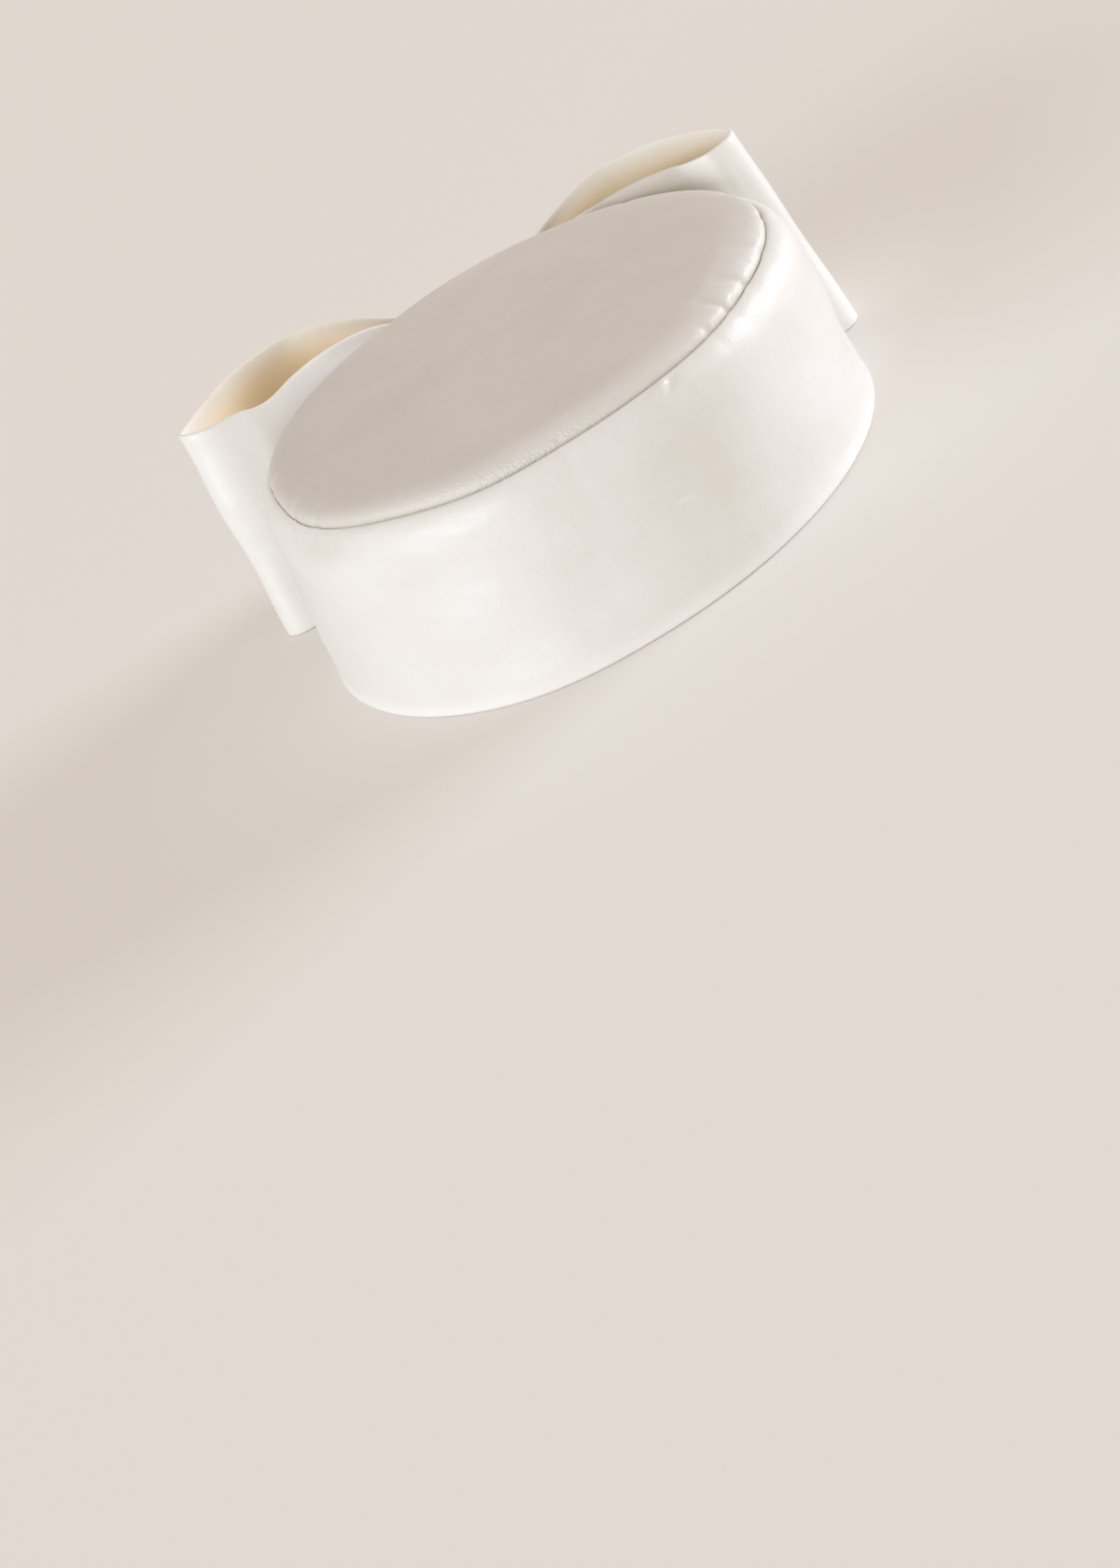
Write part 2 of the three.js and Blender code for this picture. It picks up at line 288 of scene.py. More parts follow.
def solid_ring(node, height):
    """The radii of a solid's outermost points at a height, one for each of its steps round"""
    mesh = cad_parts[node].data
    points = np.empty(len(mesh.vertices) * 3)
    mesh.vertices.foreach_get("co", points)
    points = points.reshape(-1, 3) - np.array(axis_point())
    level = points[np.abs(points[:, 2] - height) < 0.1 * MM]
    if len(level) < SOLID_STEPS_AROUND:
        raise RuntimeError(f"{node} has no ring of points at {height / MM:.1f} mm")
    turn = np.arctan2(level[:, 0], -level[:, 1]) / FULL_TURN
    step = np.round(turn * SOLID_STEPS_AROUND).astype(int) % SOLID_STEPS_AROUND
    radii = np.zeros(SOLID_STEPS_AROUND)
    np.maximum.at(radii, step, np.hypot(level[:, 0], level[:, 1]))
    return radii


def smooth_ring(radii, turn, waves=14):
    """A ring of radii read at any turn, as a sum of its lowest waves"""
    parts = np.fft.rfft(radii) / len(radii)
    result = np.full(np.shape(turn), parts[0].real)
    for wave in range(1, waves + 1):
        angle = FULL_TURN * wave * np.asarray(turn)
        result += 2 * (parts[wave].real * np.cos(angle) - parts[wave].imag * np.sin(angle))
    return result


def eased(share):
    """A share that starts and ends gently, kept between 0 and 1"""
    share = np.clip(share, 0, 1)
    return share * share * (3 - 2 * share)


def wall_radius(height):
    """The round band's outer radius up to the shoulder"""
    s = sizes()
    return s.rim_radius - s.shoulder_inset * height / s.shoulder_height


def outline_share(turn, height):
    """How the crown's true outline compares with a round one"""
    s = sizes()
    seam = BAND_HIGH.z
    hem_rounding = 0.9 * MM
    rim = smooth_ring(solid_ring("side_band", hem_rounding), turn) / wall_radius(hem_rounding)
    edge = s.rim_radius - s.seam_inset + s.seam_gap / 2
    top = smooth_ring(solid_ring("side_band", seam), turn) / edge
    rise = eased(np.asarray(height) / seam)
    kinks = s.seam_kink / edge * pucker_strength(turn, np.zeros(1), 1.3)
    near_seam = np.exp(-(((np.asarray(height) - seam) / (4 * MM)) ** 2))
    return rim[:, None] * (1 - rise) + top[:, None] * rise - kinks * near_seam


def apart(turn, middle):
    """The share of a turn between two places, the short way round"""
    gap = np.abs(turn - middle) % 1
    return np.minimum(gap, 1 - gap)


def patch(turn, name):
    """How much each turn belongs to one of the patches, as a column"""
    middle, wide = PATCHES[name]
    return np.exp(-((apart(turn, middle) / wide) ** 2)).reshape(-1, 1)


def soft_noise(seed, across, up, coarse, fine, count=26):
    """Smooth, repeatable unevenness between about -1 and 1. It closes on itself round the crown,
    where across runs from 0 to 1; coarse and fine are its least and most waves per unit."""
    rng = np.random.default_rng(seed)
    total = np.zeros(np.broadcast(across, up).shape)
    power = 0.0
    for _ in range(count):
        wave = rng.integers(int(coarse), int(fine) + 1)
        climb = rng.uniform(-fine, fine)
        size = rng.uniform(0.5, 1.0)
        phase = rng.uniform(0, FULL_TURN)
        total = total + size * np.cos(FULL_TURN * (wave * across + climb * up) + phase)
        power += size * size
    return total / math.sqrt(power)


# Curves that profiles are chained from


def arc(centre, wide, tall, start, end, steps):
    """Points on an arc of an ellipse between two angles in degrees, the last one left out"""
    angle = np.radians(np.linspace(start, end, steps, endpoint=False))
    return np.stack([centre[0] + wide * np.cos(angle), centre[1] + tall * np.sin(angle)], 1)


def line(start, end, steps):
    """Points on a straight line, the last one left out"""
    share = np.linspace(0, 1, steps, endpoint=False)[:, None]
    return np.array(start) * (1 - share) + np.array(end) * share


def run_lengths(points, closed):
    """The distance run to each point of a chain"""
    after = np.roll(points, -1, 0) if closed else points[1:]
    before = points if closed else points[:-1]
    steps = np.linalg.norm(after - before, axis=1)
    return np.concatenate([[0], np.cumsum(steps)])


def profile_normals(profile):
    """Unit normals of a closed profile, to the right of the way that it runs"""
    way = np.roll(profile, -1, 0) - np.roll(profile, 1, 0)
    way /= np.maximum(np.linalg.norm(way, axis=1, keepdims=True), 1e-12)
    return np.stack([way[:, 1], -way[:, 0]], 1)


def closed_spline(points, steps):
    """A smooth closed curve through points, with a number of even steps in all"""
    before = np.roll(points, 1, 0)
    after = np.roll(points, -1, 0)
    beyond = np.roll(points, -2, 0)
    fine = 24
    pieces = []
    for share in np.arange(fine) / fine:
        a = -0.5 * share + share**2 - 0.5 * share**3
        b = 1 - 2.5 * share**2 + 1.5 * share**3
        c = 0.5 * share + 2 * share**2 - 1.5 * share**3
        d = -0.5 * share**2 + 0.5 * share**3
        pieces.append(a * before + b * points + c * after + d * beyond)
    dense = np.stack(pieces, 1).reshape(-1, points.shape[1])
    run = run_lengths(dense[:, :3], True)
    wanted = np.linspace(0, run[-1], steps, endpoint=False)
    ring = np.vstack([dense, dense[:1]])
    return np.stack([np.interp(wanted, run, ring[:, i]) for i in range(ring.shape[1])], 1)


# Meshes


CORNERS = ((0, 0), (1, 0), (1, 1), (0, 1))


def grid_faces(rows, columns, column_faces):
    """The corners of each face of a grid of points that closes on itself along its rows"""
    row = np.arange(rows)[:, None]
    column = np.arange(column_faces)[None, :]
    corners = [(row + i) % rows * columns + (column + j) % columns for i, j in CORNERS]
    return np.stack(corners, -1).reshape(-1, 4)


def cloth_mesh(name, points, flat, closed_across, masks=None, face_slots=None):
    """A mesh from a grid of points that closes on itself along its first direction. flat holds
    each point's place on the flat cloth, in metres, with one more row and column than points."""
    rows, columns = points.shape[:2]
    column_faces = columns if closed_across else columns - 1
    corners = grid_faces(rows, columns, column_faces)
    mesh = bpy.data.meshes.new(name)
    mesh.vertices.add(rows * columns)
    mesh.vertices.foreach_set("co", points.reshape(-1).astype(np.float32))
    mesh.loops.add(corners.size)
    mesh.loops.foreach_set("vertex_index", corners.reshape(-1).astype(np.int32))
    mesh.polygons.add(len(corners))
    mesh.polygons.foreach_set("loop_start", np.arange(0, corners.size, 4, dtype=np.int32))
    places = np.stack([flat[i : rows + i, j : column_faces + j] for i, j in CORNERS], 2).reshape(-1)
    mesh.update(calc_edges=True)
    mesh.uv_layers.new(name="cloth").data.foreach_set("uv", places.astype(np.float32))
    mesh.polygons.foreach_set("use_smooth", np.ones(len(corners), bool))
    for mask_name, values in (masks or {}).items():
        layer = mesh.attributes.new(mask_name, "FLOAT", "POINT")
        values = np.broadcast_to(values, points.shape[:2])
        layer.data.foreach_set("value", values.reshape(-1).astype(np.float32))
    if face_slots is not None:
        mesh.polygons.foreach_set("material_index", face_slots.reshape(-1).astype(np.int32))
    mesh.validate()
    piece = bpy.data.objects.new(name, mesh)
    bpy.context.scene.collection.objects.link(piece)
    return piece


def close_pole(piece, ring, centre, flip):
    """Closes the round hole at a ring of vertices with a fan of triangles"""
    made = bmesh.new()
    made.from_mesh(piece.data)
    middle = made.verts.new(centre)
    made.verts.ensure_lookup_table()
    layer = made.loops.layers.uv["cloth"]
    for here, there in zip(ring, np.roll(ring, -1)):
        corners = [made.verts[int(here)], made.verts[int(there)], middle]
        face = made.faces.new(corners[::-1] if flip else corners)
        face.smooth = True
        for loop in face.loops:
            loop[layer].uv = loop.vert.co.xy
    made.to_mesh(piece.data)
    made.free()


def settle(piece, node, materials):
    """Puts a finished piece in the frame in place of its solid"""
    for material in materials:
        piece.data.materials.append(material)
    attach(piece, "root")
    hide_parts(node)


# The side band


def band_profile():
    """The band's closed outline in section, from the inside of the hem round to it again, with
    the share of the outside's detail that each point takes"""
    s = sizes()
    seam = BAND_HIGH.z
    roll = s.hem_wall / 2
    edge = s.rim_radius - s.seam_inset + s.seam_gap / 2
    inner = edge + s.allowance_wall
    shoulder = wall_radius(s.shoulder_height)
    lip = 0.2 * MM
    low = seam - s.allowance_depth
    inside = s.band_wall
    shoulder_in = shoulder - inside
    hem_wall = wall_radius(s.hem_height)
    chain = [
        arc((s.rim_radius - roll, roll), roll, roll, 180, 360, 12),
        line((s.rim_radius, roll), (shoulder, s.shoulder_height), 34),
        arc((edge + lip, s.shoulder_height), shoulder - edge - lip, seam - s.shoulder_height, 0, 90, 24),
        arc((edge + lip, seam - lip), lip, lip, 90, 180, 6),
        line((edge, seam - lip), (edge, low), 3),
        line((edge, low), (inner, low), 1),
        line((inner, low), (inner, seam - inside), 3),
        arc((inner, s.shoulder_height), shoulder_in - inner, seam - inside - s.shoulder_height, 90, 0, 8),
        line((shoulder_in, s.shoulder_height), (hem_wall - inside, s.hem_height + roll), 10),
        arc((hem_wall - inside, s.hem_height), s.hem_wall - inside, 0.6 * roll, 90, 180, 4),
        line((hem_wall - s.hem_wall, s.hem_height), (s.rim_radius - s.hem_wall, roll), 6),
    ]
    outside = np.concatenate([np.full(len(part), 1.0 if i < 4 else 0.0) for i, part in enumerate(chain)])
    return np.concatenate(chain), outside


def band_detail(turn, height, distance_to_seam):
    """How far the band's satin stands out of its plain outline, in metres"""
    s = sizes()
    seam = BAND_HIGH.z
    detail = np.zeros((len(turn), len(height)))
    for hollow in HOLLOWS:
        along = apart(turn, hollow["turn"]) / hollow["wide"]
        up = (height / seam - hollow["height"]) / hollow["tall"]
        detail -= s.hollow_depth * hollow["deep"] * np.exp(-(along**2)[:, None] - (up**2)[None, :])
    t = turn[:, None]
    up = (height / seam)[None, :]
    detail += 0.30 * MM * soft_noise(11, t, up * 0.35, 2, 7)
    detail += 0.07 * MM * soft_noise(12, t, up * 0.5, 9, 22)
    near = np.exp(-((distance_to_seam / (6 * MM)) ** 1.3))[None, :]
    waves = np.cos(FULL_TURN * 78 * t + 2.4 * soft_noise(13, t, 0 * up, 3, 11))
    strength = 0.35 + 0.35 * soft_noise(14, t, 0 * up, 4, 16)
    strength *= 1 - 0.75 * patch(turn, "calm right side")
    detail += 0.20 * MM * near * waves * strength
    return detail


def seam_shade(turn):
    """How much painted shade the seam's crease takes at each turn: less where the light falls straight into
    it
    """
    return 0.9 - 0.6 * patch(turn, "lit seam")


def mound(first, first_middle, first_wide, second, second_middle, second_wide):
    """A smooth mound over two directions, each with its middle and half width in millimetres"""
    a = (first - first_middle * MM) / (first_wide * MM)
    b = (second - second_middle * MM) / (second_wide * MM)
    return np.exp(-(a**2) - b**2)


def dimple(turn, distance_to_seam):
    """The small tuck just under the seam, with the soft ridge that runs down from it"""
    circle = FULL_TURN * (sizes().rim_radius - sizes().seam_inset)
    across = ((turn - TUCK_TURN + 0.5) % 1 - 0.5)[:, None] * circle
    down = distance_to_seam[None, :]
    # the tuck runs down to the left of where it starts, and across the lie of its length
    length_way = -0.8 * across + 0.6 * down
    side_way = 0.6 * across + 0.8 * down
    lean = across + 0.45 * (down - 3 * MM)
    bead = mound(length_way, 2.8, 2.7, side_way, 0.5, 1.2)
    pit = mound(length_way, 2.6, 3.0, side_way, 2.8, 1.6)
    ridge = mound(lean, 0, 3.2, down, 9, 7)
    return (0.8 * bead - 0.8 * pit + 0.28 * ridge) * MM


class PILLBOX_OT_side_band(bpy.types.Operator):
    """Makes the side band: rolled hem, soft hollows, shoulder and the crease under the tip"""

    bl_idname = "pillbox.side_band"
    bl_label = "Side band"

    def execute(self, context):
        s = sizes()
        seam = BAND_HIGH.z
        profile, outside = band_profile()
        run = run_lengths(profile, True)
        turn = np.arange(fineness().around) / fineness().around
        normals = profile_normals(profile)
        to_seam = np.abs(run[:-1] - run[np.argmax(profile[:, 1])])
        detail = band_detail(turn, profile[:, 1], to_seam) + dimple(turn, to_seam)
        fade = eased(profile[:, 1] / (5 * MM))
        turned_in = (outside == 0) & (profile[:, 1] > seam - s.allowance_depth - MM)
        inside = np.where(turned_in, 0, 0.6)
        kept = np.where(outside > 0, eased(to_seam / (1.2 * MM)), inside) * fade
        detail = detail * kept[None, :]
        share = outline_share(turn, profile[:, 1])
        radius = profile[None, :, 0] * share + normals[None, :, 0] * detail
        height = profile[None, :, 1] + normals[None, :, 1] * detail
        angle = FULL_TURN * turn[:, None]
        points = round_points(radius, angle, height) + np.array(axis_point())
        girth = FULL_TURN * s.rim_radius
        flat = np.stack(np.meshgrid(np.linspace(0, girth, len(turn) + 1), run, indexing="ij"), -1)
        # Painted shade in the seam's crease and on the cloth turned in under it, less where the light falls
        # in
        crease = np.where(outside > 0, np.exp(-((to_seam / (0.4 * MM)) ** 2)), 0.0)
        crease = np.maximum(crease, turned_in) * seam_shade(turn)
        # Painted shade on the left shoulder just below the seam, and on the band between the two lights
        shoulder = outside * np.exp(-(((to_seam - 6 * MM) / (5 * MM)) ** 2))
        crease = np.maximum(crease, 0.42 * patch(turn, "shaded shoulder") * shoulder)
        crease = np.maximum(crease, 0.2 * patch(turn, "between the lights") * outside)
        # Painted highlight: a lighter strip along the band's rolled lower edge
        hem = outside * np.exp(-((profile[:, 1] / (3.8 * MM)) ** 2))
        masks = {"crease": crease, "hem": hem, "crinkle": 0.3}
        piece = cloth_mesh("side_band_satin", points, flat, True, masks)
        settle(piece, "side_band", [satin("band satin", colours().band, 0.40)])
        return {"FINISHED"}


# The padded tip


def tip_curves():
    """The tip's section: from the axis along its underside to the hem, and back over the top"""
    s = sizes()
    seam = BAND_HIGH.z
    edge = s.rim_radius - s.seam_inset - s.seam_gap / 2
    rise = TIP_HIGH.z - seam

    def dome(radius, tall):
        share = np.linspace(0, 1, 900)
        angle = share**2 * math.pi / 2
        across = radius * np.cos(angle) ** (2 / TIP_SQUARENESS)
        up = seam + tall * np.sin(angle) ** (2 / TIP_SQUARENESS)
        return np.stack([across, up], 1)[::-1]

    def even(curve, steps):
        run = run_lengths(curve, False)
        wanted = np.linspace(run[-1] * 0.004, run[-1], steps)
        return np.stack([np.interp(wanted, run, curve[:, i]) for i in range(2)], 1)

    over = even(dome(edge, rise), 84)[::-1]
    under = even(dome(edge - s.allowance_wall, rise - s.tip_wall), 30)
    low = seam - s.allowance_depth
    hem = line((edge - s.allowance_wall, low), (edge, low), 1)
    skirt = line((edge, low), (edge, seam), 4)
    return np.vstack([under, hem]), np.vstack([skirt, over])


def tip_detail(turn, radius, distance_to_seam):
    """How far the tip's satin stands out of its plain outline, in metres"""
    s = sizes()
    t = turn[:, None]
    x = radius[None, :] * np.sin(FULL_TURN * t)
    y = radius[None, :] * np.cos(FULL_TURN * t)
    detail = 0.16 * MM * soft_noise(21, x / 0.16, y / 0.16, 0, 3)
    circle = FULL_TURN * (s.rim_radius - s.seam_inset)
    near = distance_to_seam[None, :]
    start = eased(near / (0.9 * MM))
    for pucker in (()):
        away = apart(t, pucker["turn"]) * circle
        spread = pucker["wide"] * MM * (0.55 + 0.45 * near / (pucker["reach"] * MM))
        fade = start * np.exp(-((near / (pucker["reach"] * MM)) ** 2))
        valley = np.exp(-((away / spread) ** 2))
        swell = 0.35 * np.exp(-(((away - 2.6 * spread) / (1.3 * spread)) ** 2))
        detail -= s.pucker_depth * pucker["deep"] * fade * (valley - swell)
    crinkle = soft_noise(23, t, near / (40 * MM), 60, 190, 40)
    detail += 0.05 * MM * crinkle * start * np.exp(-((near / (4.5 * MM)) ** 2))
    return detail


def pucker_strength(turn, near, spread):
    """How strongly the stitches draw up the tip at each turn and each distance from the seam,
    with each pucker's own width times a spread"""
    circle = FULL_TURN * (sizes().rim_radius - sizes().seam_inset)
    strength = np.zeros((len(turn), len(near)))
    for pucker in PUCKERS:
        away = apart(turn, pucker["turn"])[:, None] * circle
        reach = pucker["reach"] * MM
        wide = pucker["wide"] * MM * spread * (0.6 + 0.4 * near[None, :] / reach)
        strength += pucker["deep"] * np.exp(-((away / wide) ** 2) - (near[None, :] / reach) ** 4)
    return strength


def settled_edge(rest, start, held, looseness):
    """Runs cloth on the tip's edge, a closed strip of rows by columns, and gives how far it moves
    from rest. It starts elsewhere, where it is held at the creases that its stitches make."""
    padding = bpy.context.scene.hat_padding
    rows, columns = rest.shape[:2]
    # the solver is steadier on cloth ten times as large
    scale = 10.0
    faces = grid_faces(rows, columns, columns - 1)[:, [0, 3, 2, 1]]
    mesh = bpy.data.meshes.new("edge")
    mesh.from_pydata((start.reshape(-1, 3) * scale).tolist(), [], faces.tolist())
    edge = bpy.data.objects.new("edge", mesh)
    bpy.context.scene.collection.objects.link(edge)
    for name, weights in (("held", held), ("tight", 1 - looseness)):
        group = edge.vertex_groups.new(name=name)
        for index, weight in enumerate(weights.reshape(-1)):
            if weight > 0.01:
                group.add([index], float(weight), "REPLACE")
    cloth = edge.modifiers.new("cloth", "CLOTH")
    settings = cloth.settings
    settings.quality = 6
    settings.mass = 0.4
    settings.tension_stiffness = padding.stretch
    settings.compression_stiffness = padding.stretch
    settings.shear_stiffness = padding.stretch / 2
    settings.bending_stiffness = padding.bending
    settings.air_damping = 4
    settings.effector_weights.gravity = 0
    settings.vertex_group_mass = "held"
    settings.vertex_group_shrink = "tight"
    settings.shrink_min = -padding.slack
    settings.shrink_max = 0
    settings.use_pressure = True
    settings.uniform_pressure_force = padding.pressure
    cloth.collision_settings.use_collision = False
    cloth.point_cache.frame_end = padding.frames
    scene = bpy.context.scene
    for frame_number in range(1, padding.frames + 1):
        scene.frame_set(frame_number)
    shown = edge.evaluated_get(bpy.context.evaluated_depsgraph_get()).data
    moved = np.empty(len(shown.vertices) * 3)
    shown.vertices.foreach_get("co", moved)
    bpy.data.objects.remove(edge)
    scene.frame_set(1)
    return moved.reshape(rest.shape) / scale - rest


def pucker_moves(profile, around):
    """How far the settled satin moves outwards and up beyond its even swell, round the tip. The
    profile runs from the seam over the top to the axis."""
    padding = bpy.context.scene.hat_padding
    radii = profile[:, 0] / profile[0, 0]
    kept = int(np.argmax(radii < padding.inner))
    strip = profile[:kept][::-1]
    share = radii[:kept][::-1]
    rows = 3 * around // 4
    angle = FULL_TURN * np.arange(rows)[:, None] / rows
    rest = round_points(strip[:, 0], angle, strip[:, 1])
    near = run_lengths(profile[:kept], False)[::-1]
    turn = np.arange(rows) / rows
    crease = pucker_strength(turn, near, 0.8) * eased(near / (1.2 * MM))
    across = profile_normals(profile)[:kept][::-1]
    across[-1] = (1, 0)
    outwards = round_points(across[:, 0], angle, across[:, 1])
    start = rest - padding.pull * crease[..., None] * outwards
    held = padding.hold * eased((padding.free - share) / (padding.free - padding.inner))
    held = np.maximum(held, np.clip(2 * crease, 0, 1) ** 2)
    held[:, 0] = held[:, -1] = 1
    looseness = np.clip(pucker_strength(turn, near, 4), 0, 1) ** 2
    moved = settled_edge(rest, start, held, looseness)
    moved_out = moved[..., 0] * np.sin(angle) - moved[..., 1] * np.cos(angle)
    moved = np.stack([moved_out, moved[..., 2]], -1)
    moved -= moved.mean(0, keepdims=True)
    far = np.linalg.norm(moved, axis=-1, keepdims=True)
    moved *= padding.limit / np.maximum(np.hypot(far, padding.limit), 1e-9)
    moved = np.fft.irfft(np.fft.rfft(moved, axis=0), around, axis=0) * around / rows
    everywhere = np.zeros((around, len(profile), 2))
    everywhere[:, :kept] = moved[:, ::-1]
    return everywhere


class PILLBOX_OT_crown_tip(bpy.types.Operator):
    """Makes the padded tip: a plump dome whose edge is puckered along the seam"""

    bl_idname = "pillbox.crown_tip"
    bl_label = "Crown tip"

    def execute(self, context):
        seam = BAND_HIGH.z
        under, over = tip_curves()
        profile = np.vstack([under, over])
        turn = np.arange(fineness().around) / fineness().around
        run = run_lengths(profile, False)
        normals = profile_normals(profile)
        normals[0] = (0, -1)
        normals[-1] = (0, 1)
        outer = (np.arange(len(profile)) >= len(under)) & (profile[:, 1] >= seam)
        to_seam = np.abs(run - run[np.argmax(outer)])
        detail = tip_detail(turn, profile[:, 0], to_seam) * outer[None, :]
        detail = detail * eased(profile[:, 0] / (12 * MM))[None, :]
        share = outline_share(turn, profile[:, 1])
        angle = FULL_TURN * turn[:, None]
        radius = profile[None, :, 0] + normals[None, :, 0] * detail
        height = profile[None, :, 1] + normals[None, :, 1] * detail
        first = int(np.argmax(outer))
        moved = pucker_moves(profile[first:], len(turn))
        radius[:, first:] += moved[..., 0]
        height[:, first:] += moved[..., 1]
        points = round_points(radius * share, angle, height)
        flat = points[..., :2]
        points = points + np.array(axis_point())
        flat = np.concatenate([flat, flat[:1]], 0)
        flat = np.concatenate([flat, flat[:, -1:]], 1)
        # Painted shade in the seam's crease and on the skirt hidden below the seam
        crease = np.where(outer, np.exp(-((to_seam / (0.45 * MM)) ** 2)), 0.0)
        crease[profile[:, 1] < seam - 0.2 * MM] = 1.0
        # Painted highlight along the tip's edge, strongest at the right side and the front, widest at the
        # right
        front, right = patch(turn, "front edge"), patch(turn, "right edge")
        lit = np.clip(0.25 + 0.6 * front + 0.75 * right, 0, 1)
        edge = outer * np.exp(-((to_seam / (5 * MM)) ** 2)) + 0.12 * outer
        masks = {
            "crease": crease * seam_shade(turn),
            "crinkle": edge[None, :] * (0.4 + 1.3 * front),
            "hem": outer * np.exp(-((to_seam[None, :] / ((8 + 3 * right) * MM)) ** 3)) * lit,
        }
        piece = cloth_mesh("crown_tip_satin", points, flat, False, masks)
        columns = points.shape[1]
        low_ring = np.arange(len(turn)) * columns
        low = axis_point(float(points[:, 0, 2].mean()))
        top = axis_point(float(points[:, -1, 2].mean()))
        close_pole(piece, low_ring, low, True)
        close_pole(piece, low_ring + columns - 1, top, False)
        # The tip's darker colour is painted shade for its top, and its edge a cooler painted highlight
        cloth = satin("tip satin", colours().tip, 0.48, sheen=0.08, painted_highlight=(1.2, 1.24, 1.28))
        settle(piece, "crown_tip", [cloth])
        return {"FINISHED"}


# The bow


# Each loop's fold at its top edge: how far to the side it reaches from the axis, and how far out
# beyond the rim. Its low edge is turned by lean and drawn in by tuck.
FOLDS = {
    "left": {"reach": 95.8 * MM, "out": 29.2 * MM, "lean": math.radians(7.2), "tuck": 6 * MM},
    "right": {"reach": 88.6 * MM, "out": 16.8 * MM, "lean": math.radians(8), "tuck": 1.6 * MM},
}

# The right loop's front layer: its middle, half width and start as shares of a turn from the back,
# where its soft fold lies at the start as a share of the ribbon's width, and its fall for a turn
RIGHT_FRONT = {"middle": 0.114, "wide": 0.037, "start": 0.097, "fold": 0.966, "fall": 1.2}


def layer_places():
    """Where the ribbon's front and rear layers lie inside the knot"""
    s = sizes()
    solid_wall = 1.8 * MM
    clearance = 0.3 * MM
    front = KNOT_LOW.y + s.knot_wall + clearance + solid_wall / 2
    return front, front + solid_wall + 0.6 * MM


def loop_row(row, fold, side):
    """The low and the top edge of the ribbon at one row of a loop"""
    s = sizes()
    middle = axis_point()
    fold_angle = math.asin(fold["reach"] / (s.rim_radius + fold["out"]))
    bend = float(eased((row["turn"] - 0.45) / 0.55))
    top_angle = row["turn"] * fold_angle
    low_angle = top_angle + fold["lean"] * bend
    low_out = row["out"] * (fold["out"] - fold["tuck"] * bend)
    edges = []
    for angle, out, height in (
        (low_angle, low_out, row["low"]),
        (top_angle, row["out"] * fold["out"], row["top"]),
    ):
        radius = s.rim_radius + out
        edges += [
            middle.x + side * radius * math.sin(angle),
            middle.y + radius * math.cos(angle),
            RIBBON_LOW.z + RIBBON_WIDTH * height,
        ]
    return edges


def pinched_rows(place, side):
    """The pinched rows that pass through the knot on one layer"""
    middle = axis_point()
    wall = sizes().knot_wall
    low = KNOT_LOW.z + wall + 0.6 * MM
    high = KNOT_HIGH.z - wall - 0.6 * MM
    half = HALF_KNOT + MM
    places = [middle.x - side * x for x in (-half, 0, half)]
    return [[x, place, low, x, place, high] for x in places]


def strap_section(places, edge_steps):
    """A strap's closed section: along one face, round its far edge, back along the other face and
    round its near edge. Gives each point's place across, its side and how far it is beyond."""
    angle = np.radians(np.linspace(0, 180, edge_steps + 2)[1:-1])
    ends = [np.full(edge_steps, places[end]) for end in (-1, 0)]
    face = np.ones(len(places))
    place = np.concatenate([places, ends[0], places[::-1], ends[1]])
    side = np.concatenate([face, np.cos(angle), -face, -np.cos(angle)])
    beyond = np.concatenate([0 * face, np.sin(angle), 0 * face, -np.sin(angle)])
    return place, side, beyond


def ribbon_rows():
    """Every row of the ribbon's ring, with its low and its top edge"""
    front, rear = layer_places()
    rows = pinched_rows(front, 1)
    rows += [loop_row(row, FOLDS["left"], -1) for row in LEFT_LOOP]
    rows += pinched_rows(rear, -1)
    rows += [loop_row(row, FOLDS["right"], 1) for row in RIGHT_LOOP[::-1]]
    return np.array(rows)


